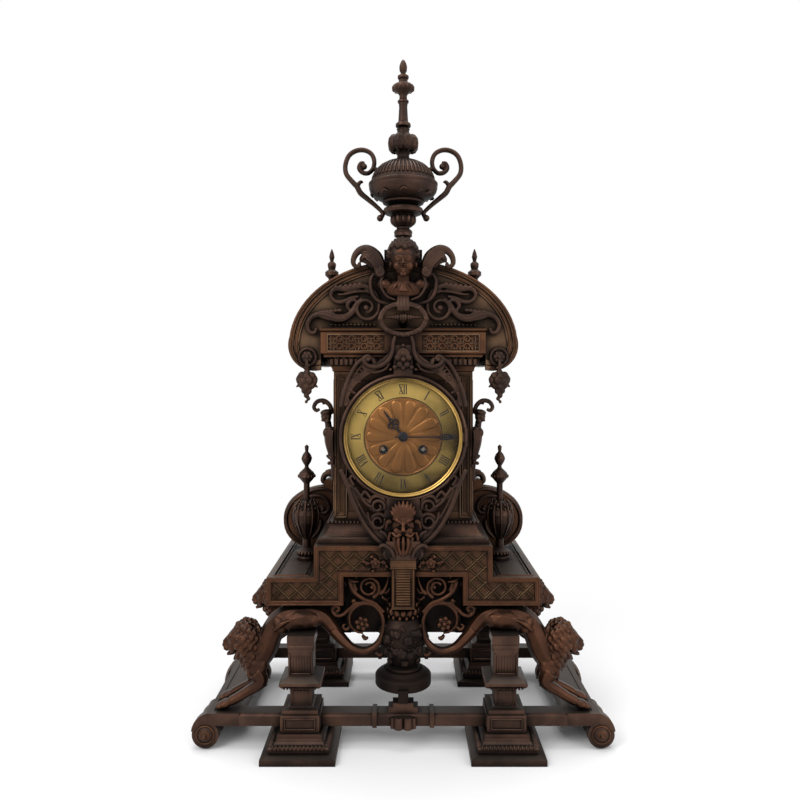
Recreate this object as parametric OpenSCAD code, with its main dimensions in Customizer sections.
// Bronze pendulum mantel clock on four lions, in millimetres.
// +Z is up, the dial faces -Y, and the origin is the middle of the footprint on the floor.

/* [Pedestals and base frame] */
// Half the distance between the pedestals, left to right
plinth_x = 106.3; // [104:0.5:108]
// Half the distance between the pedestals, front to back
plinth_y = 88.2; // [87:0.2:90]
// Half the width of a pedestal's foot slab
foot_hw = 38.1; // [36:0.5:40]
// Thickness of the foot slab
foot_h = 6.2; // [5:0.2:7]
// Half the width of the block that the frame bar passes through
block_hw = 19.95; // [18:0.25:21]
// Half the width of the upper die
die_hw = 11.2; // [10:0.2:13]
// Half the width of the abacus under the console
abacus_hw = 21.25; // [19:0.25:23]
// Underside of the bars and planks above the floor
bar_z = 25; // [24.6:0.2:27]
// Height of the bars and planks
bar_h = 13; // [11:0.5:14]
// Depth of a bar, front to back
bar_d = 17; // [14:0.5:19]
// Half the distance between the planks' inner edges
plank_x = 171.5; // [168:0.5:173]
// Width of a plank's flat top
plank_w = 33.8; // [31:0.5:36]
// Half the length of a plank
plank_y = 95; // [94:0.5:97]
// Radius of the roll under a plank's outer edge
roll_r = 14; // [12:0.5:15]
// Radius of the roll's waist
roll_waist_r = 9; // [7:0.5:11]

/* [Step block] */
// Underside of the step block above the floor
step_z = 148.6; // [146:0.2:150]
// Half the width of the lower step
step_x = 144.3; // [140:0.5:148]
// Half the depth of both steps
step_y = 88; // [86:0.5:89]
// Height of the lower step
step_h = 29.6; // [28:0.2:31]
// Half the width of the upper step
upper_x = 94.3; // [92:0.5:98]
// Height of the upper step
upper_h = 33.2; // [32:0.2:35]
// Wall of the hollow casting
step_wall = 5; // [4:0.5:6]
// Half the width of the opening under the apron
apron_x = 63.3; // [61:0.3:66]
// Width of the raised border on the aprons
border_w = 5.3; // [4:0.2:6]
// Depth of the sunk lattice field
field_sink = 1.2; // [0.6:0.1:1.6]

/* [Case] */
// Half the width of the case
case_x = 75.5; // [74:0.5:77]
// Half the depth of the case
case_y = 65; // [64:0.5:67]
// Height of the case walls
case_h = 161; // [159:0.5:164]
// Thickness of the case walls
wall = 4; // [3.5:0.5:5]
// Height of the moulded base under the case walls
base_h = 22.6; // [22:0.2:25]
// Half the width of the moulded base
base_x = 91.5; // [89:0.5:93]
// Height of the cornice with its dentils
cornice_h = 16; // [15:0.5:18]
// Height of the frieze
frieze_h = 30; // [28:0.5:32]
// Half the width of the frieze
frieze_x = 88; // [86:0.5:90]
// How far the frieze stands out in front of the case
frieze_out = 15; // [14:0.5:16]

/* [Pediment] */
// Half the width of the arch
arch_a = 123.2; // [121:0.4:126]
// Rise of the arch above its springing
arch_b = 91.8; // [89:0.4:94]
// Radius of the round lobes at the arch's ends
lobe_r = 28; // [26:0.5:29]
// Width of the arch's rim moulding
rim_w = 11; // [9:0.5:12]
// Thickness of the arch's front plate
arch_plate = 6; // [5:0.5:7]
// Thickness of the vault behind the front plate
vault_t = 5; // [4:0.5:6]

/* [Dial and glass door] */
// Gap between the fixed ring and the cornice above it
ring_under = 1.6; // [1:0.2:3]
// Radius of the fixed ring round the dial
ring_r = 67.8; // [66.5:0.3:69]
// Outer radius of the hinged glass door's ring
door_r = 63.9; // [62:0.2:64.2]
// Radius of the glass
glass_r = 61; // [60.5:0.1:61.4]
// Half the distance between the winding arbors
wind_x = 21.3; // [20.9:0.1:22]
// Distance of the winding arbors below the dial's centre
wind_down = 13.6; // [12.5:0.1:14.5]
// Length of the minute hand from its centre
minute_len = 58; // [50:0.5:59]
// Length of the hour hand from its centre
hour_len = 35; // [30:0.5:38]

/* [Movement] */
// Radius of the movement's plates
plate_r = 46; // [45:0.5:48]
// Distance between the plates
plate_gap = 38; // [36:0.5:40]
// Thickness of a plate
plate_t = 2; // [1.6:0.1:2.4]
// Running clearance of an arbor in its hole
running = 0.05; // [0.02:0.01:0.09]
// Radius of the centre arbor
centre_r = 1.5; // [1.3:0.1:1.6]
// Length of the pendulum from its pivot to the bob's middle
pendulum_len = 98; // [90:1:102]
// Radius of the pendulum bob
bob_r = 17; // [14:0.5:19]
// Radius of the bell's rim
bell_r = 27; // [24:0.5:30]
// Radius of the rear door's opening
rear_r = 52; // [48:0.5:54]

/* [Vase, lions and crest] */
// Distance of the vase's axis in front of the middle
vase_y = 62; // [61:0.5:64]
// Distance of the lions' spines in front of the middle
lion_y = 73.5; // [72:0.5:75]
// Radius of the lions' haunches
haunch_r = 17; // [15:0.5:18]
// Radius of the cherub's head
head_r = 17; // [15:0.5:19]
// Height of the urn's lid with its finial
lid_h = 142.6; // [140:0.2:147]
// Radius of the big urn's body
urn_r = 38; // [36:0.5:40]

/* [Hidden] */
$fn = 48;

bronze = "#3a2a22";
warm = "#57351f";
brass = "#b08a3c";
steel = "#3c4048";
eps = 0.01;

bar_top = bar_z + bar_h;
bar_y = plinth_y + 6.8;
deck_z = step_z + step_h;
upper_z = deck_z + upper_h;
case_z = upper_z + base_h;
cornice_z = case_z + case_h;
dial_z = cornice_z - ring_under - ring_r;
frieze_z = cornice_z + cornice_h;
arch_base = frieze_z + frieze_h;
spring_z = frieze_z + 13;
arch_top = spring_z + arch_b;
base_y = case_y + base_x - case_x - 1;
frieze_y = case_y + frieze_out;
arch_y = case_y + 5;

// Planes of the dial stack, counted from the case's front face towards the viewer
ring_front = case_y + 19;
dial_back = case_y + 11;
dial_front = dial_back + 1.5;
hour_y = dial_front + 1.4;
minute_y = hour_y + 2.3;
hand_t = 1;
glass_t = 1.5;
glass_back = minute_y + hand_t + 1.1;
door_front = glass_back + glass_t + 1.6;
ledge_y = case_y + 15;
door_gap = 0.3;
hinge_x = door_r + 2.3;
hinge_y = door_front - 0.6;
hinge_pin_r = 1;
knuckle_r = 1.8;
knuckle_h = 10;

// Planes of the movement, as distances in front of the middle
plate_front_y = case_y - 9;
plate_inner_y = plate_front_y - plate_t;
back_inner_y = plate_inner_y - plate_gap;
back_face_y = back_inner_y - plate_t;

// Train: numbers of teeth and centres relative to the dial's centre
cannon_n = 12;
minute_wheel_n = 36;
minute_pinion_n = 12;
hour_wheel_n = 48;
motion_module = 0.8;
motion_dist = motion_module * (cannon_n + minute_wheel_n) / 2;
hour_module = 2 * motion_dist / (minute_pinion_n + hour_wheel_n);
minute_wheel_pos = [0, motion_dist];
centre_n = 72;
third_pinion_n = 12;
centre_module = 0.45;
third_n = 72;
escape_pinion_n = 12;
third_module = 1 / 3;
third_dist = centre_module * (centre_n + third_pinion_n) / 2;
third_pos = third_dist * [cos(60), sin(60)];
escape_dist = third_module * (third_n + escape_pinion_n) / 2;
escape_pos = [0, third_pos[1] + sqrt(pow(escape_dist, 2) - pow(third_pos[0], 2))];
toward_escape = atan2(escape_pos[1] - third_pos[1], escape_pos[0] - third_pos[0]);
escape_n = 30;
escape_r = 8;
anchor_pos = [0, escape_pos[1] + 11.5];
barrel_dist = norm([wind_x, wind_down]);
barrel_n = 60;
centre_pinion_n = 12;
barrel_module = 2 * barrel_dist / (barrel_n + centre_pinion_n);
barrel_drum_r = wind_x - 2.5;
square_hw = 1.8;
square_len = 8;
square_end = dial_front + 0.2;
wind_hole_r = 3.5;
pivot_z = dial_z + anchor_pos[1];
bob_z = pivot_z - pendulum_len;
pendulum_y = back_face_y - 9;

function arc(cx, cy, r, a0, a1, n = 6) =
  [for (i = [0:n]) let (a = a0 + (a1 - a0) * i / n) [cx + r * cos(a), cy + r * sin(a)]];

function oval(cx, cy, a, b, t0, t1, n = 24) =
  [for (i = [0:n]) let (t = t0 + (t1 - t0) * i / n) [cx + a * cos(t), cy + b * sin(t)]];

// Points of a spiral round a centre, its radius growing evenly with the turn
function spiral(c, r0, r1, a0, a1, n = 20) =
  [for (i = [0:n]) let (k = i / n, a = a0 + (a1 - a0) * k, r = r0 + (r1 - r0) * k)
    [c[0] + r * cos(a), c[1] + r * sin(a)]];

// Smooth curve through four control points
function bezier(a, b, c, d, n = 10) =
  [for (i = [0:n]) let (t = i / n, s = 1 - t)
    s * s * s * a + 3 * s * s * t * b + 3 * s * t * t * c + t * t * t * d];

function heading(p, i) =
  let (n = len(p), d = p[min(i + 1, n - 1)] - p[max(i - 1, 0)]) d / norm(d);

// Flat strip along a path, with a width at its start and at its end
module ribbon(p, w0, w1) {
  n = len(p);
  side = function (s) [for (i = [0:n - 1])
    let (h = heading(p, i), w = (w0 + (w1 - w0) * i / (n - 1)) / 2)
    p[i] + s * w * [-h[1], h[0]]];
  left = side(1);
  right = side(-1);
  polygon(concat(left, [for (i = [n - 1:-1:0]) right[i]]));
}

// Slab of a drawing in X and Z, its front face at distance y in front of the middle
module slab(y, t) {
  translate([0, t - y, 0]) rotate([90, 0, 0]) linear_extrude(t) children();
}

// Rectangular block with the same moulded outline on all four sides.
// The profile's points are how far a side stands out and the height.
module moulded(half_x, half_y, profile) {
  n = len(profile);
  outline = function (h) concat(
    [for (p = profile) [h + p[0], p[1]]],
    [for (i = [n - 1:-1:0]) [-h - profile[i][0], profile[i][1]]]);
  reach = max([for (p = profile) p[0]]) + 1;
  intersection() {
    slab(half_y + reach, 2 * (half_y + reach)) polygon(outline(half_x));
    rotate([0, 0, 90]) slab(half_x + reach, 2 * (half_x + reach)) polygon(outline(half_y));
  }
}

// Turned piece on a vertical axis from points of radius and height
module turned(profile) {
  rotate_extrude()
    polygon(concat([[0, profile[0][1]]], profile, [[0, profile[len(profile) - 1][1]]]));
}

// Disc, tube or arbor along Y, from distance y0 to distance y1 in front of the middle
module rod(x, z, y0, y1, r) {
  translate([x, -y0, z]) rotate([90, 0, 0]) cylinder(h = y1 - y0, r = r);
}

// Rounded limb through balls given as [x, y, z, r]
module limb(balls, fn = 10) {
  for (i = [0:len(balls) - 2]) hull() {
    for (b = [balls[i], balls[i + 1]]) translate([b[0], b[1], b[2]]) sphere(r = b[3], $fn = fn);
  }
}

module both_sides() {
  children();
  mirror([1, 0, 0]) children();
}

// Wheel outline with straight-flanked, rounded-off teeth and backlash between them
function tooth_outline(n, m, phase, add, ded, thin) =
  [for (i = [0:n - 1]) let (c = phase + 360 * i / n, q = 90 / n, rp = m * n / 2)
    for (k = [[-1.30, -ded], [-thin, -0.05], [-0.52 * thin, 0.62 * add], [-0.15, add],
      [0.15, add], [0.52 * thin, 0.62 * add], [thin, -0.05], [1.30, -ded]])
      (rp + k[1] * m) * [cos(c + k[0] * q), sin(c + k[0] * q)]];

module wheel_2d(n, m, phase = 0, add = 0.85, ded = 1.1, thin = 0.8) {
  polygon(tooth_outline(n, m, phase, add, ded, thin));
}

// Toothed wheel along Y on an arbor at pos, with an optional ring of crossings
module wheel(pos, y, t, n, m, phase = 0, spokes = 0, add = 0.85) {
  rim = m * n / 2 - 2.6 * m - 1;
  translate([pos[0], -y, dial_z + pos[1]]) rotate([90, 0, 0]) difference() {
    linear_extrude(t) wheel_2d(n, m, phase, add);
    if (spokes > 0) for (i = [0:spokes - 1]) rotate(360 * i / spokes) translate([rim * 0.6, 0, -1])
      cylinder(h = t + 2, r = rim * 0.27);
  }
}

module plinth() {
  block_z = bar_z - 0.5;
  block_top = bar_top + 4.3;
  profile = concat(
    [[foot_hw, 0], [foot_hw, foot_h], [foot_hw - 3.4, foot_h + 0.7], [block_hw + 9.8, foot_h + 1.9],
      [block_hw + 9.8, foot_h + 3.5], [block_hw + 11.1, foot_h + 4.3]],
    arc(block_hw + 8.6, foot_h + 6.1, 2.9, 20, 70, 3),
    [[block_hw + 6.5, foot_h + 9.3], [block_hw + 3.9, foot_h + 11.4], [block_hw + 2.95, foot_h + 14.2],
      [block_hw + 2.95, block_z], [block_hw, block_z], [block_hw, block_top],
      [block_hw - 1.5, block_top], [block_hw - 1.5, block_top + 4.6], [die_hw + 2, block_top + 5],
      [die_hw, block_top + 6.4], [die_hw, block_top + 24], [die_hw + 1.6, block_top + 25],
      [abacus_hw - 3.6, block_top + 28], [abacus_hw, block_top + 30.3], [abacus_hw, block_top + 33.1],
      [die_hw + 1.3, block_top + 37.5], [die_hw + 1.3, block_top + 39]]);
  console_z = block_top + 38;
  cap_top = lion_seat_z;
  difference() {
    union() {
      moulded(0, 0, profile);
      translate([-die_hw - 1.3, -die_hw + 2, console_z])
        cube([2 * die_hw + 2.6, 2 * die_hw - 3, cap_top - console_z]);
      translate([-die_hw - 1.3, -die_hw + 5, cap_top - 17.6]) rotate([0, 90, 0])
        cylinder(h = 2 * die_hw + 2.6, r = 8.6);
      translate([-die_hw - 3, -die_hw - 2.5, cap_top - 9]) cube([2 * die_hw + 6, 2 * die_hw + 4, 9]);
    }
    for (s = [-1, 1]) translate([-block_hw + 3, s > 0 ? block_hw - 0.8 : -block_hw - 0.2, block_z + 3])
      cube([2 * block_hw - 6, 1, block_top - block_z - 6]);
    translate([-block_hw - 1, plinth_y - bar_y, bar_z]) cube([2 * block_hw + 2, bar_d, bar_h]);
  }
}

module place_plinth(sx, sy) {
  color(bronze) translate([sx * plinth_x, sy * plinth_y, 0]) mirror([0, sy > 0 ? 1 : 0, 0]) plinth();
}

module plank() {
  roll_x = plank_x + plank_w + 1.7;
  roll_z = bar_z - 9.3;
  roll = concat([[0, -plank_y - 3], [roll_r * 0.3, -plank_y - 3], [roll_r * 0.66, -plank_y],
      [roll_r, -plank_y], [roll_r, -plank_y + 7], [roll_r - 1.6, -plank_y + 8.5]],
    oval(roll_r - 6, -60, 6, 26, -80, 80, 8), [[roll_waist_r, -18], [roll_waist_r, 0]]);
  curl = concat([[plank_x + plank_w - 6, bar_z], [plank_x + plank_w - 6, bar_top],
      [plank_x + plank_w, bar_top]],
    arc(roll_x - 6.6, roll_z + 1.3, roll_r + 7.6, 72, 6, 6), [[roll_x, roll_z]]);
  difference() {
    union() {
      translate([plank_x, -plank_y, bar_z]) cube([plank_w, 2 * plank_y, bar_h]);
      for (s = [-1, 1]) slab(s * (plank_y - 4) + 4, 8) polygon(curl);
      translate([roll_x, 0, roll_z]) rotate([90, 0, 0])
        rotate_extrude() polygon(concat(roll, [for (i = [len(roll) - 1:-1:0]) [roll[i][0], -roll[i][1]]]));
    }
    translate([plank_x + 6, -plank_y + 6, bar_top - 0.8]) cube([plank_w - 12, 2 * plank_y - 12, 1]);
  }
}

module plank_right() { color(bronze) plank(); }
module plank_left() { color(bronze) mirror([1, 0, 0]) plank(); }

strap_x = 30;
bracket_hw = 5.4;
hump_top = bar_top + 10;

module bar(front) {
  section = [[0, 0], [0, bar_h - 3], [1.6, bar_h - 1.4], [1.6, bar_h], [bar_d, bar_h], [bar_d, 0]];
  translate([0, -bar_y, bar_z]) {
    translate([-plank_x, 0, 0]) rotate([90, 0, 90]) linear_extrude(2 * plank_x) polygon(section);
    for (s = [-1, 1]) translate([s * strap_x - 2.3, -1.4, -1.2]) cube([4.6, bar_d + 2.4, bar_h + 2.8]);
    for (s = [-1, 1]) translate([s * 4.7, -2, -1.4]) {
      cylinder(h = bar_h - 1, r = 5.2);
      translate([s * 6, 1, 0]) cylinder(h = bar_h - 2, r = 2.8);
    }
    if (front) {
      translate([-15.6, 1.6, bar_h]) cube([31.2, bar_d - 3.2, 5.6]);
      translate([-11, 1.6, bar_h + 5.6]) cube([22, bar_d - 3.2, 4.4]);
    }
  }
}

module front_bar() { color(bronze) bar(true); }
module rear_bar() { color(bronze) mirror([0, 1, 0]) bar(false); }

socle_z = hump_top + 7;
socle_r = 30.3;
vase_z = socle_z + 18;

// Round socle on a bracket that stands on the front bar
module vase_socle() {
  color(bronze) {
    translate([0, -vase_y, 0]) turned([[socle_r - 5, socle_z], [socle_r, socle_z + 2],
      [socle_r, socle_z + 11], [socle_r - 2, socle_z + 13], [socle_r - 6, socle_z + 15],
      [socle_r - 9, vase_z]]);
    translate([-bracket_hw, -bar_y + 1.6, hump_top])
      cube([2 * bracket_hw, bar_d + 10, socle_z - hump_top]);
    translate([-bracket_hw, -vase_y - socle_r - 2, hump_top]) cube([2 * bracket_hw, 8, socle_z + 6 - hump_top]);
  }
}

collar_z = vase_z + 58;
collar_r = 18.8;
vase_r = 25;
pilaster_z = collar_z + 15;

module vase() {
  color(warm) translate([0, -vase_y, 0]) difference() {
    union() {
      turned(concat([[18.5, vase_z], [18.5, vase_z + 3], [14, vase_z + 5]],
        [[17.5, vase_z + 12], [22, vase_z + 24], [24.3, vase_z + 34], [vase_r, vase_z + 41],
          [23.5, vase_z + 50], [19, vase_z + 56], [16, collar_z], [collar_r - 1, collar_z + 1]],
        arc(collar_r - 4, collar_z + 5, 4, -60, 60, 6),
        [[collar_r - 4, collar_z + 9], [collar_r - 3, collar_z + 12], [collar_r - 5, pilaster_z]]));
      for (i = [0:11]) rotate(30 * i + 15) translate([collar_r - 2.5, 0, collar_z + 5]) sphere(r = 3.2, $fn = 16);
    }
    translate([-30, vase_y - well_y, well_z]) cube([60, 60, 100]);
  }
}

pilaster_hw = 12.2;
pilaster_front = step_y + 5;

shaft_top = deck_z + 10.4;
band_h = 9.2;
band_top = shaft_top + band_h;

module pilaster() {
  color(warm) {
    difference() {
      translate([-pilaster_hw, -pilaster_front, pilaster_z])
        cube([2 * pilaster_hw, pilaster_front - well_y, apron_top - pilaster_z]);
      translate([-pilaster_hw + 3.4, -pilaster_front - 1, pilaster_z + 3])
        cube([2 * pilaster_hw - 6.8, 2.2, 60]);
    }
    translate([-pilaster_hw, -pilaster_front, apron_top - eps])
      cube([2 * pilaster_hw, pilaster_front - step_y, shaft_top - apron_top + eps]);
    for (z = [pilaster_z + 5:3.4:shaft_top - 2]) translate([-pilaster_hw + 3.4, -pilaster_front + 0.4, z])
      cube([2 * pilaster_hw - 6.8, 1, 1.7]);
    translate([-pilaster_hw - 1.2, -pilaster_front - 1.2, shaft_top])
      cube([2 * pilaster_hw + 2.4, pilaster_front - step_y + 1.2, band_h]);
  }
}

apron_top = step_z + 30.4;
well_y = 60;
well_z = 110;

// Dark box under the case that closes the space behind the pierced panels
module centre_well() {
  t = 3;
  color(bronze) difference() {
    translate([-apron_x, -well_y, well_z]) cube([2 * apron_x, 2 * well_y, deck_z - well_z]);
    translate([-apron_x + t, -well_y + t, well_z + t])
      cube([2 * (apron_x - t), 2 * (well_y - t), deck_z - well_z]);
  }
}

lion_seat_z = 121.4;
tail_x = 68;

// Half a lion: the body arches under the step block and the forelegs reach down to the plank
module lion() {
  y = -lion_y;
  back_z = step_z - haunch_r;
  limb([[66, y, 108, 5.5], [86, y, 126, 9], [98, y, back_z - 3, 13.5], [112, y, back_z, haunch_r],
    [128, y, back_z - 4, 15], [141, y, 118, 13.5], [149, y, 98, 13.5], [154, y, 82, 13]]);
  limb([[150, y, 96, 15], [160, y, 108, 16], [171, y, 117, 15.5]]);
  limb([[171, y, 114, 12], [185, y, 113, 6.5]]);
  limb([[172, y, 106, 7], [182, y, 101.5, 3.2]]);
  for (s = [-1, 1]) limb([[154, y + 8 * s, 80, 9], [159, y + 10 * s, 68, 7.5],
    [177, y + 11 * s, 49, 5], [190, y + 11 * s, bar_top + 4.2, 4.2]]);
}

module seated_lion() {
  difference() {
    lion();
    translate([40, -lion_y - 60, step_z]) cube([150, 120, 60]);
    translate([tail_x - 40, -lion_y - 20, 80]) cube([40, 40, 60]);
    translate([plinth_x - 20, -plinth_y - 20, 60]) cube([40, 40, lion_seat_z - 60]);
    translate([plank_x - 10, -lion_y - 60, 0]) cube([60, 120, bar_top]);
  }
}

module lion_front_right() { color(warm) seated_lion(); }
module lion_front_left() { color(warm) mirror([1, 0, 0]) seated_lion(); }
module lion_rear_right() { color(warm) mirror([0, 1, 0]) seated_lion(); }
module lion_rear_left() { color(warm) mirror([0, 1, 0]) mirror([1, 0, 0]) seated_lion(); }

panel_t = 6;
panel_y = lion_y + panel_t / 2;
ball_x = 44;
ball_z = 125.6;

// Pierced scrollwork between the lion's tail and the pilaster
module scroll_panel() {
  tail = bezier([tail_x + 6, 116], [58, 94], [30, 84], [22.5, 122], 14);
  lower = concat(tail, spiral([ball_x - 2.5, ball_z - 1], 19.4, 16.5, 175, 10, 12));
  color(warm) difference() {
    slab(panel_y, panel_t) {
      ribbon(lower, 7, 4);
      ribbon(spiral([ball_x, ball_z], 16, 8, 10, -150, 10), 3.4, 2.4);
      translate([41.5, 145]) circle(r = 3.6, $fn = 24);
      ribbon(spiral([36.6, 163.9], 13.5, 5, -200, 250, 26), 3.4, 3);
      ribbon(bezier([22, pilaster_z + 2], [36, 151], [52, 146], [60, 172], 10), 4, 7);
      ribbon(bezier([41, 147], [52, 150], [58, 128], [71, 136], 10), 3.4, 3.4);
      translate([71, 138]) circle(r = 4.6, $fn = 24);
      translate([47, 153]) circle(r = 3.6, $fn = 24);
      translate([36.6, 163.9]) circle(r = 3.6, $fn = 24);
      translate([pilaster_hw, pilaster_z]) square([12, 4]);
      translate([ball_x, ball_z]) circle(r = 8.5);
    }
    translate([0, -vase_y, 0]) cylinder(h = collar_z, r = vase_r);
    translate([tail_x, -panel_y - 1, 80]) cube([20, panel_t + 2, 50]);
  }
  color(warm) for (a = [45:90:315])
    translate([ball_x + 4 * cos(a), -panel_y - 0.8, ball_z + 4 * sin(a)]) sphere(r = 2.8, $fn = 16);
}

module scroll_panel_right() { scroll_panel(); }
module scroll_panel_left() { mirror([1, 0, 0]) scroll_panel(); }

// Outline of the stepped front apron, with the opening under it
module apron_outline(inset) {
  x1 = step_x - inset;
  x2 = upper_x - inset;
  x3 = apron_x + inset;
  polygon([[x3, step_z + inset], [x1, step_z + inset], [x1, deck_z - inset], [x2, deck_z - inset],
    [x2, upper_z - inset], [-x2, upper_z - inset], [-x2, deck_z - inset], [-x1, deck_z - inset],
    [-x1, step_z + inset], [-x3, step_z + inset], [-x3, apron_top + inset], [x3, apron_top + inset]]);
}

// Hollow stepped casting that carries the case
module step_block() {
  w = step_wall;
  color(warm) {
    difference() {
      union() {
        translate([-step_x, -step_y, step_z]) cube([2 * step_x, 2 * step_y, step_h]);
        translate([-upper_x, -step_y, deck_z - eps]) cube([2 * upper_x, 2 * step_y, upper_h + eps]);
      }
      translate([-step_x + w, -step_y + w, step_z - 1]) cube([2 * (step_x - w), 2 * (step_y - w), step_h + 1 - w]);
      translate([-upper_x + w, -step_y + w, step_z]) cube([2 * (upper_x - w), 2 * (step_y - w), step_h + upper_h - w]);
      translate([-apron_x, -step_y - 1, step_z - 1]) cube([2 * apron_x, w + 2, apron_top - step_z + 1]);
      slab(step_y + 1, 1 + field_sink) apron_outline(border_w);
      mirror([0, 1, 0]) slab(step_y + 1, 1 + field_sink) apron_outline(border_w);
      both_sides() translate([upper_x + 7, -step_y + 7, deck_z - 1.2])
        cube([step_x - upper_x - 14, 2 * step_y - 14, 2]);
    }
    for (sx = [-1, 1], sy = [-1, 1]) translate([sx * (plinth_x + 4), sy * lion_y, step_z])
      cylinder(h = step_h - w + eps, r = 9);
    both_sides() translate([apron_x, -step_y + w - eps, step_z])
      cube([w, 2 * (step_y - w + eps), step_h - w + eps]);
  }
}

module case_base() {
  profile = concat([[0, upper_z], [0, upper_z + 4.9], [-2.5, upper_z + 4.9]],
    arc(3, upper_z + 20, 15.2, 246, 184, 6),
    [[-12.2, upper_z + 19.5], [-11, upper_z + 20.6], [-11, upper_z + 22], [-13.5, case_z]]);
  color(bronze) difference() {
    moulded(base_x, base_y, profile);
    translate([-case_x + 14, -case_y + 14, upper_z - 1]) cube([2 * case_x - 28, 2 * case_y - 28, base_h - 4]);
  }
}

module square_at(x, z, w, h) { translate([x, z]) square([w, h]); }

movement_hole_r = 56;

module case_front() {
  color(warm) difference() {
    translate([-case_x, -case_y, case_z]) cube([2 * case_x, wall, case_h]);
    rod(0, dial_z, case_y - wall - 1, case_y + 1, movement_hole_r);
    slab(case_y + 1, 1.8) difference() {
      square_at(-case_x + 6.5, case_z + 9, 2 * case_x - 13, case_h - 18);
      translate([0, dial_z]) circle(r = ring_r);
    }
  }
}

module case_side() {
  color(warm) difference() {
    translate([case_x - wall, -case_y + wall, case_z]) cube([wall, 2 * (case_y - wall), case_h]);
    translate([case_x - 0.8, -case_y + 10, case_z + 9]) cube([2, 2 * case_y - 20, case_h - 18]);
  }
}

module case_right() { case_side(); }
module case_left() { mirror([1, 0, 0]) case_side(); }

rear_hinge_x = rear_r + 6;
rear_hinge_y = case_y + 2.2;

module case_back() {
  color(bronze) {
    difference() {
      translate([-case_x, case_y - wall, case_z]) cube([2 * case_x, wall, case_h]);
      rod(0, dial_z, -case_y - 1, -case_y + wall + 1, rear_r);
    }
    for (z = [-9, 9]) translate([rear_hinge_x, rear_hinge_y, dial_z + z - 3]) {
      cylinder(h = 6, r = 2);
      translate([-0.6, -2.2, 0]) cube([2.6, 2.2, 6]);
    }
    translate([rear_hinge_x, rear_hinge_y, dial_z - 12]) cylinder(h = 24, r = 0.9);
  }
}

// Round pierced door over the back of the movement, on a side hinge
module rear_door() {
  r = rear_r + 3.5;
  color(brass) {
    difference() {
      rod(0, dial_z, -case_y - 1.9, -case_y - 0.3, r);
      for (i = [0:7]) rod(30 * cos(45 * i), dial_z + 30 * sin(45 * i), -case_y - 3, -case_y + 1, 5);
      rod(0, dial_z, -case_y - 3, -case_y + 1, 7);
    }
    difference() {
      union() {
        translate([rear_hinge_x, rear_hinge_y, dial_z - 5.6]) cylinder(h = 11.2, r = 2);
        translate([rear_hinge_x - 5, rear_hinge_y - 1.9, dial_z - 5.6]) cube([4.4, 1.6, 11.2]);
      }
      translate([rear_hinge_x, rear_hinge_y, dial_z - 7]) cylinder(h = 14, r = 0.9 + running);
    }
    rod(-r + 5, dial_z, -case_y - 5.5, -case_y - 1.8, 2.4);
  }
}

core_x = 62;
core_y = 52;

module cornice() {
  z = cornice_z;
  color(warm) {
    difference() {
      moulded(case_x, case_y, [[0, z], [1.5, z + 1], [1.5, z + 3], [3, z + 6], [4, z + 6], [4, frieze_z]]);
      translate([-core_x, -core_y, z - 1]) cube([2 * core_x, 2 * core_y, cornice_h + 2]);
    }
    for (x = [-72:8:72]) translate([x - 2.6, -case_y - 9, z + 8]) cube([5.2, 6, 8]);
    for (y = [-60:8:60], s = [-1, 1]) translate([s * (case_x + 4) - (s > 0 ? eps : 4), y - 2.6, z + 8])
      cube([4 + eps, 5.2, 8]);
  }
}

fret_pitch = 13.2;

module frieze() {
  z = frieze_z;
  field_x = frieze_x - 8;
  color(warm) {
    difference() {
      moulded(frieze_x, frieze_y, [[-3, z], [-3, z + 2], [0, z + 4], [0, z + 26], [-1, z + 27], [1, arch_base - 1],
        [1, arch_base]]);
      translate([-core_x, -core_y, z - 1]) cube([2 * core_x, 2 * core_y, frieze_h + 2]);
      slab(frieze_y + 1, 2.4) for (s = [-1, 1]) square_at(s > 0 ? 20 : -field_x, z + 7, field_x - 20, 17);
      translate([-frieze_x - 5, arch_depth - arch_y, z - 1]) cube([2 * frieze_x + 10, 40, frieze_h + 2]);
    }
    slab(frieze_y - eps, 1.6) both_sides() for (i = [0:3], k = [0, 1])
      translate([21.5 + fret_pitch * i + 7, z + 11.5 + 8.2 * k]) fret_knot();
  }
}

// One round knot of the fret, with a bar on each side
module fret_knot() {
  difference() {
    union() {
      circle(r = 3.6, $fn = 24);
      square([fret_pitch + 2 * eps, 1.4], center = true);
    }
    circle(r = 2.2, $fn = 24);
  }
}

arch_depth = 2 * arch_y - 8;

module arch_outline(inset) {
  a = arch_a - inset;
  b = arch_b - inset;
  polygon(concat(oval(0, spring_z, a, b, 0, 180, 40), [[-a, spring_z - 4], [a, spring_z - 4]]));
  for (s = [-1, 1]) translate([s * (arch_a - lobe_r + 0.8), spring_z]) circle(r = lobe_r - inset, $fn = 64);
}

// The two raised bands along the arch's edge, or the room that they take
module arch_rims(room) {
  slab(arch_y + 2.5 + room, 2.6 + room) difference() {
    arch_outline(0);
    arch_outline(rim_w * 0.45 + room);
  }
  slab(arch_y + 1.6 + room, 1.7 + room) difference() {
    arch_outline(rim_w * 0.55 - room);
    arch_outline(rim_w + room);
  }
}

// Front plate and vault of the arch. The opening behind is closed by the frieze below it.
module pediment() {
  color(warm) difference() {
    union() {
      slab(arch_y, arch_plate) arch_outline(0);
      slab(arch_y - arch_plate + eps, arch_depth - arch_plate) difference() {
        arch_outline(rim_w * 0.4);
        arch_outline(rim_w * 0.4 + vault_t);
      }
      slab(arch_y - arch_depth + arch_plate, arch_plate) arch_outline(rim_w * 0.4);
      arch_rims(0);
      both_sides() rod(roundel_x, roundel_z, arch_y - eps, arch_y + 3, roundel_r);
    }
    translate([-frieze_x - 1, -frieze_y - 6, spring_z - 60]) cube([2 * frieze_x + 2, 200, arch_base - spring_z + 60]);
  }
}

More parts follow.
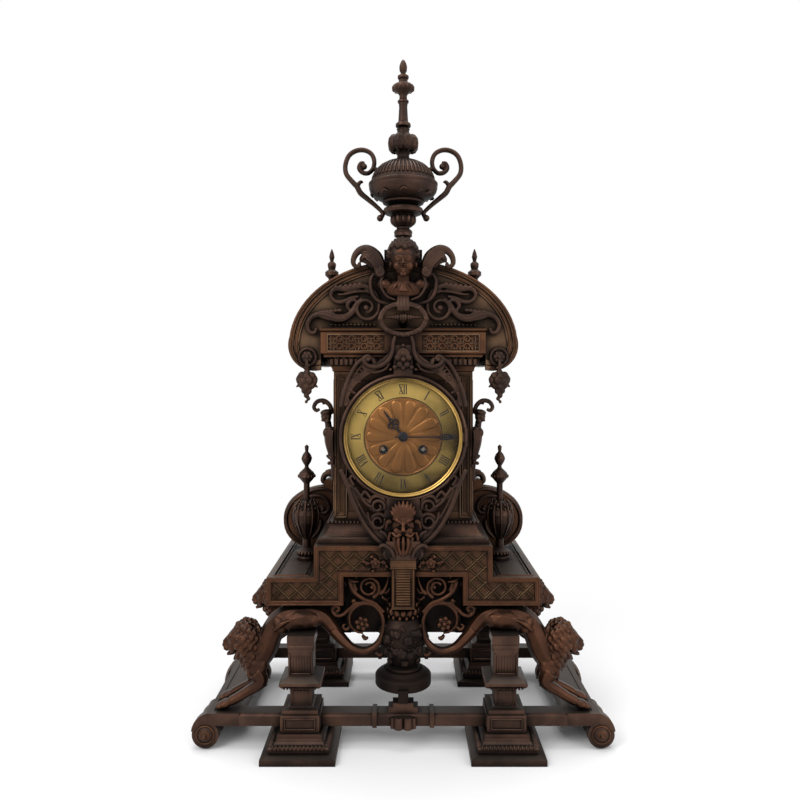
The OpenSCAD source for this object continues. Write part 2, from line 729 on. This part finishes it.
roundel_x = 103;
roundel_z = spring_z - 13;
roundel_r = 10;

// Bunches of fruit that hang from the roundels
module fruit_drops() {
  y = -arch_y - 7;
  color(bronze) both_sides() difference() {
    union() {
      rod(roundel_x, roundel_z, arch_y + 3, arch_y + 6, 6);
      limb([[roundel_x, y, roundel_z - 4, 3], [roundel_x, y, roundel_z - 15, 4.4],
        [roundel_x, y, roundel_z - 24, 9], [roundel_x, y, roundel_z - 34, 7.4],
        [roundel_x, y, roundel_z - 45, 3]]);
    }
    translate([0, -arch_y - 3, roundel_z - 60]) cube([150, 40, 80]);
  }
}

boss_x = 40;
boss_z = spring_z + 39;

// Leafy scrolls on the arch's field
module crest_scrolls() {
  color(warm) both_sides() difference() {
    slab(arch_y + 5, 5) {
      ribbon(spiral([boss_x, boss_z], 12.5, 5.5, 180, 520, 22), 3.4, 3);
      ribbon(bezier([27.6, boss_z], [28, boss_z + 21], [58, boss_z + 33], [80, boss_z + 16], 12), 3.4, 7);
      ribbon(bezier([51, boss_z + 7], [60, boss_z - 17], [78, boss_z - 23], [101, boss_z - 16], 12), 8, 3);
      ribbon(spiral([76, boss_z + 18], 6, 4, 90, -160, 10), 4, 3);
      translate([boss_x, boss_z]) circle(r = 6, $fn = 24);
    }
    arch_rims(0.3);
  }
  color(warm) both_sides() rod(boss_x, boss_z, arch_y + 5, arch_y + 8, 3.4);
}

head_z = arch_top - 0.8;
chest_z = head_z - 32;

// Winged child's bust at the arch's crown
module cherub_bust() {
  y = -arch_y - 12;
  color(bronze) difference() {
    union() {
      limb([[0, y - 3, head_z - 4, head_r - 2], [0, y - 2, head_z + 4, head_r]], 14);
      limb([[0, y - 2, head_z, 12], [0, y + 2, head_z - 18, 10], [0, y + 4, chest_z, 13]], 10);
      both_sides() {
        limb([[0, y + 4, chest_z + 4, 12], [16, y + 6, chest_z + 6, 10], [24, y + 2, chest_z + 18, 6]], 10);
        limb([[24, y + 6, head_z - 10, 6], [30, y + 8, head_z + 6, 6], [41, y + 8, head_z + 12, 5.5],
          [51, y + 8, head_z + 5, 4], [50, y + 8, head_z - 3, 3]], 10);
      }
    }
    translate([-80, -arch_y, chest_z - 43]) cube([160, 80, 140]);
    arch_rims(0.3);
  }
}

ring_half_h = 19;
ring_z = chest_z - 13 - ring_half_h;

module crest_ring() {
  color(bronze) {
    slab(frieze_y + 8, 5) translate([0, ring_z]) difference() {
      scale([27, ring_half_h]) circle(r = 1, $fn = 48);
      scale([22, ring_half_h - 4.8]) circle(r = 1, $fn = 48);
    }
    rod(0, ring_z, arch_y, frieze_y + 5, 2.6);
    rotate([0, 90, 0]) translate([-ring_z, -frieze_y - 5, -15]) cylinder(h = 30, r = 4);
    rotate([0, 90, 0]) translate([-ring_z, -frieze_y - 5, -24]) cylinder(h = 48, r = 1.5);
    translate([-4, -frieze_y - 9, ring_z + 12]) cube([8, frieze_y + 9 - arch_y, 7]);
  }
}

// Block and neck behind the bust that carry the urn
urn_y = 45;
urn_block_top = arch_top + 11.2;
urn_foot_z = urn_block_top + 22;

module urn_pedestal() {
  color(bronze) difference() {
    union() {
      translate([-20.5, -arch_y, arch_top - 40]) cube([41, arch_y - urn_y + 20.5, urn_block_top - arch_top + 40]);
      translate([0, -urn_y, 0]) turned([[16, urn_block_top - eps], [16, urn_block_top + 2], [8, urn_block_top + 6],
        [6, urn_block_top + 12], [6, urn_foot_z - 6], [10, urn_foot_z - 3], [10, urn_foot_z]]);
    }
    slab(arch_y + 5, 60 + arch_depth) difference() {
      arch_outline(rim_w * 0.4);
      translate([-30, 0]) square([60, 10]);
    }
    slab(arch_y + 5, arch_plate + 5) arch_outline(0);
  }
}

urn_split_z = urn_foot_z + 52;
urn_ring_r = 22.5;

module urn_body() {
  color(bronze) translate([0, -urn_y, 0]) turned(concat(
    [[10, urn_foot_z], [10, urn_foot_z + 4], [6.5, urn_foot_z + 6]],
    arc(3, urn_foot_z + 13.5, 10.4, -40, 60, 6),
    [[12, urn_foot_z + 20.5]], arc(urn_ring_r - 4.5, urn_foot_z + 25, 4.5, -90, 90, 6),
    [[16, urn_foot_z + 30]], oval(0, urn_split_z, urn_r, 24, -62, -4, 8), [[urn_r, urn_split_z]]));
}

// Lid with its finial, heights above the rim in hundredths of the whole
module urn_lid() {
  u = lid_h / 100;
  knob = [[6.4, 42.1], [7.4, 44.2], [5, 46.3], [8.4, 47], [8.4, 49.1], [5.8, 50.5], [4.4, 62.4], [6, 66.6],
    [4.3, 68.7], [5, 72.2], [12, 76.4], [12, 78.5], [5, 80.6], [6, 85.6], [6, 87.7], [2.2, 89.8]];
  color(bronze) translate([0, -urn_y, urn_split_z]) turned(concat(
    [[urn_r, 0], [urn_r, 3], [urn_r - 3, 5]], oval(0, 5, urn_r - 4, 25, 8, 74, 8),
    [[6.7, 22.4 * u], [6.7, 25.2 * u]], oval(0, 33.7 * u, 17.6, 7.7 * u, -66, 66, 10),
    [for (k = knob) [k[0], k[1] * u]], oval(0, 94 * u, 3.7, 6 * u, -40, 88, 6), [[0.05, lid_h]]));
}

module urn_handles() {
  path = concat(spiral([44.6, 22], 4, 12, -60, 60, 8),
    bezier([50, 33], [44, 45], [66, 49], [66, 23], 10),
    bezier([65, 15], [62, 3], [50, 5], [46, -7], 8),
    bezier([44, -15], [42, -27], [34, -31], [27, -34], 8));
  color(bronze) both_sides() difference() {
    slab(urn_y + 2.2, 4.4) translate([0, urn_split_z]) {
      ribbon(path, 3.4, 3.4);
      ribbon(spiral([44.6, 22], 9, 4.5, 60, -150, 12), 3, 3);
      translate([26, -34.5]) circle(r = 4, $fn = 24);
      polygon([[20, -29], [26, -35.5], [28, -32], [20, -25]]);
      polygon([[urn_r - 2.4, -3], [47, -6], [48, -2], [urn_r - 2.4, 2.5]]);
    }
    translate([0, -urn_y, urn_split_z - 8]) cylinder(h = 16, r = urn_r);
    translate([0, -urn_y, urn_split_z - 41]) cylinder(h = 20, r = urn_ring_r);
  }
}

finial_x = 85;
finial_y = 8;

// Pair of finials on the arch's shoulders
module shoulder_finials() {
  top = spring_z + (arch_b - rim_w * 0.4) * sqrt(1 - pow(finial_x / (arch_a - rim_w * 0.4), 2));
  color(bronze) difference() {
    both_sides() translate([finial_x, finial_y, top]) turned([[7, -6], [7, 6], [4, 9], [4, 20.6],
      [8, 24.6], [8, 28.6], [4, 31.6], [5, 35.6], [5, 38.6], [2, 41.6], [3.3, 46.6], [2.2, 51.6], [0.4, 56.1]]);
    slab(arch_y, arch_depth) arch_outline(rim_w * 0.4);
  }
}

urn2_x = 112.5;
urn2_y = 10;
urn2_z = deck_z - 1.2;

// Slim urns on the trays of the lower step
module small_urns() {
  z = urn2_z;
  color(bronze) both_sides() translate([urn2_x, -urn2_y, 0]) turned([[11, z], [11, z + 3], [10, z + 5],
    [11, z + 10], [5, z + 14], [4.4, z + 23.6], [9, z + 32], [14, z + 44], [15.2, z + 53], [13, z + 60],
    [6, z + 66], [3.5, z + 68], [3.5, z + 88], [6, z + 91], [10.4, z + 96.4], [8, z + 101], [2.6, z + 106],
    [2.2, z + 108.6], [5, z + 113], [6.3, z + 117], [4.4, z + 122], [1.8, z + 125], [2.5, z + 131],
    [0.4, z + 133]]);
}

volute_y = -44;

// C-scrolls that lean on the sides of the case
module volute() {
  c = 120;
  color(warm) slab(volute_y + 8, 16) difference() {
    union() {
      polygon(concat([[case_x, deck_z + 60], [case_x, upper_z + base_h + 22]],
        bezier([84, upper_z + 42], [100, upper_z + 46], [132, upper_z + 36], [145, upper_z + 12.6], 12),
        bezier([147, upper_z + 4.6], [150, upper_z - 21.4], [128, deck_z], [112, deck_z], 10),
        [[upper_x, deck_z], [upper_x, upper_z], [base_x, upper_z], [base_x, upper_z + 4.9],
          [base_x - 10, upper_z + 19], [base_x - 10, case_z], [case_x, case_z]]));
      translate([92, upper_z + 46]) circle(r = 5.4, $fn = 24);
    }
    translate([c, upper_z + 2.6]) scale([13, 16]) circle(r = 1, $fn = 32);
  }
}

module volutes() { both_sides() volute(); }

herm_x = case_x + 8;

// Slim half-figure on the front edge of the case, under a plume curl
module herm() {
  y = -case_y + 5;
  color(bronze) translate([0, 0, dial_z]) difference() {
    union() {
      limb([[herm_x - 5, y, -27.6, 3], [herm_x - 2, y, -13.6, 6], [herm_x, y, 0.4, 8], [herm_x, y, 10.4, 7]], 10);
      limb([[herm_x + 1, y - 2, 12.4, 5], [herm_x + 2, y - 3, 21.4, 7]], 12);
      limb([[herm_x, y, 26.4, 5], [herm_x + 4, y, 34.4, 4], [herm_x + 10, y, 35.4, 3]], 10);
    }
    translate([0, -case_y - 30, -50]) cube([case_x, 80, 120]);
  }
}

module herms() { both_sides() herm(); }

// Shield-shaped frame round the dial, with its strapwork and the mask below
module cartouche() {
  t = 6;
  rise = dial_z - upper_z;
  y = frieze_y + t;
  foot_y = step_y + t;
  color(bronze) {
    difference() {
      rod(0, dial_z, case_y, ring_front, ring_r);
      rod(0, dial_z, case_y - 1, ledge_y, dial_r);
      rod(0, dial_z, ledge_y - eps, ring_front + 1, door_r + door_gap);
    }
    for (s = [-1, 1]) translate([hinge_x, -hinge_y, dial_z + s * (knuckle_h / 2 + 2.3) - 2]) difference() {
      union() {
        cylinder(h = 4, r = knuckle_r);
        translate([-1.8, 0, 0]) cube([3.4, hinge_y - ring_front + 2, 4]);
      }
    }
    translate([hinge_x, -hinge_y, dial_z - knuckle_h / 2 - 4]) cylinder(h = knuckle_h + 8, r = hinge_pin_r);
    slab(y, t) translate([0, dial_z]) difference() {
      union() {
        both_sides() {
          ribbon(bezier([9, 96.4], [12, 74.4], [60, 70.4], [62, 36.4], 12), 6, 6);
          ribbon(bezier([58, -46.6], [54, -79.6], [30, -97.6], [18, 4 - rise], 12), 6, 7);
          ribbon(spiral([35, 78.4], 9, 4, -120, 200, 14), 4, 3);
          ribbon(spiral([26, -88.6], 8, 8, 0, 350, 16), 3, 3);
          ribbon(spiral([28, -69.6], 8, 8, 0, 350, 16), 3, 3);
          ribbon(bezier([60, -49.6], [52, -57.6], [44, -63.6], [36, -69.6], 8), 5, 5);
          ribbon(bezier([17, -99.6], [22, -103.6], [26, -103.6], [30, -97.6], 6), 4, 4);
        }
        square_at(-10, ring_r - 2, 20, 32);
        polygon([[-18, -85.6], [-22, 4.6 - rise], [-20, -rise], [20, -rise], [22, 4.6 - rise], [18, -85.6]]);
        polygon([[-21, -85.6], [21, -85.6], [17, -63.6], [-17, -63.6]]);
      }
      circle(r = ring_r - 1);
    }
    both_sides() for (p = [[61, 36.4], [57, -46.6]]) rod(p[0], dial_z + p[1], case_y, y, 3);
    rod(0, dial_z + 87.4, y - eps, y + 3, 7);
    translate([-18, -foot_y, upper_z]) cube([36, foot_y - y + 1, 6]);
    slab(foot_y, t) polygon([[-18, upper_z + eps], [-20, upper_z - 6.4], [-12, band_top], [12, band_top],
      [20, upper_z - 6.4], [18, upper_z + eps]]);
    slab(y + 3, 3 + eps) translate([0, mask_z]) scale([11, 13]) circle(r = 1, $fn = 32);
  }
}

mask_z = dial_z - 94.6;

module bezel_door() {
  color(brass) {
    difference() {
      union() {
        rod(0, dial_z, ledge_y + door_gap, door_front - 1.2, door_r);
        rod(0, dial_z, door_front - 1.2 - eps, door_front, door_r - 1.4);
      }
      rod(0, dial_z, ledge_y - 1, glass_back + glass_t, glass_r);
      rod(0, dial_z, glass_back, door_front + 1, glass_r - 1.5);
    }
    difference() {
      union() {
        translate([hinge_x, -hinge_y, dial_z - knuckle_h / 2]) cylinder(h = knuckle_h, r = knuckle_r);
        translate([door_r - 2, -hinge_y - 0.6, dial_z - knuckle_h / 2])
          cube([hinge_x - door_r + 1, 1.2, knuckle_h]);
      }
      translate([hinge_x, -hinge_y, dial_z - knuckle_h]) cylinder(h = 2 * knuckle_h, r = hinge_pin_r + running);
    }
  }
}

module door_glass() {
  color("#cfe0e0", 0.3) rod(0, dial_z, glass_back, glass_back + glass_t, glass_r);
}

dial_r = 62;
centre_disc_r = 41;

// Chapter ring round the fluted centre, with the holes for the arbors
module dial_plate() {
  color(brass) difference() {
    union() {
      rod(0, dial_z, dial_back, dial_front - 0.3, dial_r);
      slab(dial_front, 0.5) translate([0, dial_z]) difference() {
        circle(r = dial_r);
        circle(r = centre_disc_r);
      }
      slab(dial_front, 0.5) translate([0, dial_z]) for (i = [0:13]) rotate(360 / 14 * i + 10)
        translate([24, 0]) scale([15, 3.6]) circle(r = 1, $fn = 20);
      for (s = [-1, 1]) rod(s * 40, dial_z, plate_front_y, dial_back + eps, 1.6);
    }
    rod(0, dial_z, dial_back - 1, dial_front + 1, hour_pipe_r + 0.5);
    for (s = [-1, 1]) rod(s * wind_x, dial_z - wind_down, dial_back - 1, dial_front + 1, wind_hole_r);
  }
}

cannon_r = 2.2;
cannon_bore = centre_r + 0.06;
hour_bore = cannon_r + 0.08;
hour_pipe_r = 3.1;
cannon_back = plate_front_y + 1.2;
motion_t = 1.6;

// Minute hand on the pipe of its cannon pinion
module minute_hand() {
  color(steel) difference() {
    union() {
      slab(minute_y + hand_t, hand_t) translate([0, dial_z]) {
        polygon([[3, 1.2], [38, 0.9], [43, 3], [47, 1.2], [minute_len, 0.3], [minute_len, -0.3], [47, -1.2],
          [43, -3], [38, -0.9], [3, -1.2]]);
        circle(r = 4);
        polygon([[-3, 1.4], [-12, 1], [-12, -1], [-3, -1.4]]);
      }
      rod(0, dial_z, cannon_back, minute_y + hand_t, cannon_r);
      wheel([0, 0], cannon_back, motion_t + 0.6, cannon_n, motion_module, 0, 0, 0.7);
    }
    rod(0, dial_z, cannon_back - 1, minute_y + hand_t + 1, cannon_bore);
  }
}

hour_back = cannon_back + motion_t + 1.4;
hour_angle = 90 - 323;

// Hour hand on the pipe of the hour wheel
module hour_hand() {
  color(steel) difference() {
    union() {
      slab(hour_y + hand_t, hand_t) translate([0, dial_z]) rotate(hour_angle) {
        polygon([[3, 1.6], [12, 1.2], [22, 1.4], [hour_len, 0.3], [hour_len, -0.3], [22, -1.4], [12, -1.2],
          [3, -1.6]]);
        for (a = [0:90:270]) translate([16.5 + 3 * cos(a), 3 * sin(a)]) circle(r = 2.3, $fn = 20);
        circle(r = 6);
      }
      rod(0, dial_z, hour_back, hour_y + hand_t, hour_pipe_r);
      wheel([0, 0], hour_back, motion_t, hour_wheel_n, hour_module, 0, 0, 0.7);
    }
    rod(0, dial_z, hour_back - 1, hour_y + hand_t + 1, hour_bore);
  }
}

stud_r = 1.2;

// Minute wheel and its pinion, which turn the hour wheel once in twelve hours
module minute_wheel() {
  p = minute_wheel_pos;
  color(brass) difference() {
    union() {
      wheel(p, cannon_back + 0.3, motion_t - 0.3, minute_wheel_n, motion_module,
        270 + 180 / minute_wheel_n, 0, 0.7);
      wheel(p, cannon_back + 0.3, motion_t + 2.7, minute_pinion_n, hour_module,
        270 + 180 / minute_pinion_n, 0, 0.7);
    }
    rod(p[0], dial_z + p[1], cannon_back - 1, cannon_back + 9, stud_r + running);
  }
}

arbor_r = 0.8;
train = [third_pos, escape_pos, anchor_pos];
pillar_at = [[-38, 22], [38, 22], [-9, -41], [9, -41]];

module plate_holes(y0, y1) {
  rod(0, dial_z, y0, y1, centre_r + running);
  for (p = train) rod(p[0], dial_z + p[1], y0, y1, arbor_r + running);
  for (s = [-1, 1]) rod(s * wind_x, dial_z - wind_down, y0, y1, barrel_arbor_r + running);
}

module front_plate() {
  y0 = plate_inner_y;
  p = minute_wheel_pos;
  color(brass) {
    difference() {
      rod(0, dial_z, y0, plate_front_y, plate_r);
      plate_holes(y0 - 1, plate_front_y + 1);
    }
    rod(p[0], dial_z + p[1], plate_front_y - eps, cannon_back + 6, stud_r);
    for (s = [-1, 1]) translate([s * 53 - 11, -plate_front_y, dial_z - 4]) cube([22, plate_t, 8]);
    for (s = [-1, 1]) rod(s * 60.5, dial_z, plate_front_y - eps, case_y - wall, 2.5);
  }
}

cock_y = back_face_y - 13;

// Back plate with its riveted pillars and the cock that hangs the pendulum
module back_plate() {
  color(brass) {
    difference() {
      rod(0, dial_z, back_face_y, back_inner_y, plate_r);
      plate_holes(back_face_y - 1, back_inner_y + 1);
      rod(hammer_pos[0], dial_z + hammer_pos[1], back_face_y - 1, back_inner_y + 1, hammer_arbor_r + running);
    }
    for (p = pillar_at) rod(p[0], dial_z + p[1], back_inner_y - eps, plate_inner_y, 2.6);
    for (s = [-1, 1]) translate([s * 9 - 2, -back_face_y, pivot_z - 4]) cube([4, back_face_y - cock_y, 8]);
    translate([-11, -cock_y - 2, pivot_z - 4]) cube([22, 2, 8]);
    rod(0, pivot_z, cock_y + 2 - eps, cock_y + 5, 0.8);
  }
}

barrel_arbor_r = 2.6;
ratchet_n = 16;

// Mainspring barrel with its toothed rim, bored for the winding arbor
module barrel(s, y_wheel) {
  x = s * wind_x;
  z = dial_z - wind_down;
  difference() {
    union() {
      rod(x, z, back_inner_y + 6, y_wheel + eps, barrel_drum_r);
      wheel([x, -wind_down], y_wheel, 2.4, barrel_n, barrel_module, barrel_phase(s), 0, 0.6);
    }
    rod(x, z, back_inner_y, plate_inner_y, barrel_arbor_r + running);
  }
}

// Winding arbor, whose square reaches the dial, with its ratchet wheel behind the back plate
module winding_arbor(s) {
  x = s * wind_x;
  z = dial_z - wind_down;
  rod(x, z, back_face_y - 3, square_end - square_len, barrel_arbor_r);
  translate([x - square_hw, -square_end, z - square_hw])
    cube([2 * square_hw, square_len + eps, 2 * square_hw]);
  translate([x, -(back_face_y - 2), z]) rotate([90, 0, 0]) linear_extrude(1.6)
    polygon([for (i = [0:ratchet_n - 1]) for (k = [[0, 6], [4, 4.8]])
      let (c = 360 * i / ratchet_n + k[0]) k[1] * [cos(c), sin(c)]]);
}

module going_arbor() { color(steel) winding_arbor(1); }
module strike_arbor() { color(steel) winding_arbor(-1); }

// Turn of a barrel's teeth that puts a tooth between two leaves of the centre pinion
function barrel_phase(s) = atan2(wind_down, -s * wind_x) + 180 / barrel_n;

module going_barrel() { color(brass) barrel(1, plate_inner_y - 4.5); }
module strike_barrel() { color(brass) barrel(-1, plate_inner_y - 7.8); }

module centre_wheel() {
  color(brass) {
    rod(0, dial_z, back_face_y + 0.1, minute_y + hand_t + 0.8, centre_r);
    wheel([0, 0], back_inner_y + 2, 1.5, centre_n, centre_module, 0, 5, 0.7);
    wheel([0, 0], plate_inner_y - 5, 3.4, centre_pinion_n, barrel_module, atan2(-wind_down, wind_x), 0, 0.6);
  }
}

module third_wheel() {
  p = third_pos;
  color(brass) {
    rod(p[0], dial_z + p[1], back_face_y + 0.1, plate_front_y - 0.1, arbor_r);
    wheel(p, back_inner_y + 1.5, 2.5, third_pinion_n, centre_module, 240 + 180 / third_pinion_n, 0, 0.7);
    wheel(p, back_inner_y + 7, 1.2, third_n, third_module, toward_escape + 180 / third_n, 5, 0.7);
  }
}

// Escape wheel with sharp, forward-leaning teeth
module escape_wheel() {
  p = escape_pos;
  color(brass) {
    rod(p[0], dial_z + p[1], back_face_y + 0.1, plate_front_y - 0.1, arbor_r);
    wheel(p, back_inner_y + 6.5, 2.2, escape_pinion_n, third_module, toward_escape + 180, 0, 0.7);
    translate([p[0], -(back_inner_y + 3), dial_z + p[1]]) rotate([90, 0, 0]) linear_extrude(1.2)
      polygon([for (i = [0:escape_n - 1]) let (c = 360 * i / escape_n)
        for (k = [[0, escape_r], [3, escape_r - 1.8], [9, escape_r - 1.8]])
          k[1] * [cos(c + k[0]), sin(c + k[0])]]);
  }
}

pallet_gap = 0.45;

// Anchor with its two pallets, its arbor and the crutch that drives the pendulum
module anchor() {
  p = anchor_pos;
  reach = p[1] - escape_pos[1];
  tip = escape_r + pallet_gap + 0.5;
  color(steel) {
    rod(0, pivot_z, back_face_y - 6, plate_front_y - 0.1, arbor_r);
    translate([0, -(back_inner_y + 3), dial_z + p[1]]) rotate([90, 0, 0]) linear_extrude(1.2) {
      circle(r = 2.4);
      both_sides() polygon([[0, 1.8], [7, -0.6], [tip * sin(52) + 1.4, -reach + tip * cos(52) + 0.6],
        [tip * sin(52), -reach + tip * cos(52)], [5.4, -2.6], [0, -1.2]]);
    }
    translate([-1, -(back_face_y - 3.4), pivot_z - 30]) cube([2, 1.4, 30]);
    for (s = [-1, 1]) translate([s * 1.9 - 0.6, -(back_face_y - 3.4), pivot_z - 31]) cube([1.2, 7, 3]);
    translate([-2.5, -(back_face_y - 3.4), pivot_z - 31]) cube([5, 1.4, 3]);
  }
}

// Rod, bob and the hook that hangs on the cock's pin
module pendulum() {
  y = pendulum_y;
  color(brass) {
    difference() {
      rod(0, pivot_z, y - 0.6, y + 0.6, 2.6);
      rod(0, pivot_z, y - 2, y + 2, 0.8 + running);
    }
    translate([-1, -y - 0.6, bob_z]) cube([2, 1.2, pendulum_len - 2]);
    translate([0, -y, bob_z]) rotate([90, 0, 0]) rotate_extrude()
      polygon([[0, -4], [bob_r - 3, -3], [bob_r, -0.8], [bob_r, 0.8], [bob_r - 3, 3], [0, 4]]);
    translate([0, -y, bob_z - bob_r - 4]) cylinder(h = 6, r = 1.6);
  }
}

bell_y = -24;
hammer_pos = [-bell_r - 7, -20];
hammer_arbor_r = 1.1;

module bell() {
  z = dial_z + 6;
  y0 = -bell_y;
  color(brass) {
    translate([0, y0, z]) rotate([-90, 0, 0]) rotate_extrude() difference() {
      polygon(concat([[0, 16]], oval(0, 0, bell_r, 16, 88, 0, 10), [[bell_r + 1, -2], [bell_r - 1, -2]],
        oval(0, 0, bell_r - 2, 14, 0, 88, 10), [[0, 14]]));
    }
    rod(0, z, -y0 - 22, -y0 - 12, 1.6);
    slab(-y0 - 18, 2) {
      ribbon([[0, z], bell_post], 6, 6);
      translate([0, z]) circle(r = 4);
      translate(bell_post) circle(r = 4);
    }
    rod(bell_post[0], bell_post[1], -y0 - 19, back_face_y, 2);
  }
}

bell_post = [24, dial_z + 35];

module hammer() {
  hx = hammer_pos[0];
  color(steel) {
    rod(hx, dial_z + hammer_pos[1], bell_y - 1, back_inner_y + 3, hammer_arbor_r);
    translate([hx - 1, -bell_y - 2, dial_z + hammer_pos[1]]) cube([2, 2, 28]);
    translate([hx - 2.5, -bell_y - 1, dial_z + 8]) rotate([0, 90, 0]) cylinder(h = 7, r = 3);
  }
}

module plinth_front_left() { place_plinth(-1, -1); }
module plinth_front_right() { place_plinth(1, -1); }
module plinth_rear_left() { place_plinth(-1, 1); }
module plinth_rear_right() { place_plinth(1, 1); }

plinth_front_left();
plinth_front_right();
plinth_rear_left();
plinth_rear_right();
plank_left();
plank_right();
front_bar();
rear_bar();
vase_socle();
vase();
pilaster();
lion_front_left();
lion_front_right();
lion_rear_left();
lion_rear_right();
scroll_panel_left();
scroll_panel_right();
centre_well();
step_block();
case_base();
case_front();
case_left();
case_right();
case_back();
cornice();
frieze();
pediment();
fruit_drops();
crest_scrolls();
cherub_bust();
crest_ring();
urn_pedestal();
urn_body();
urn_lid();
urn_handles();
shoulder_finials();
small_urns();
volutes();
herms();
cartouche();
bezel_door();
door_glass();
dial_plate();
minute_hand();
hour_hand();
minute_wheel();
front_plate();
back_plate();
going_barrel();
going_arbor();
strike_barrel();
strike_arbor();
centre_wheel();
third_wheel();
escape_wheel();
anchor();
pendulum();
bell();
hammer();
rear_door();
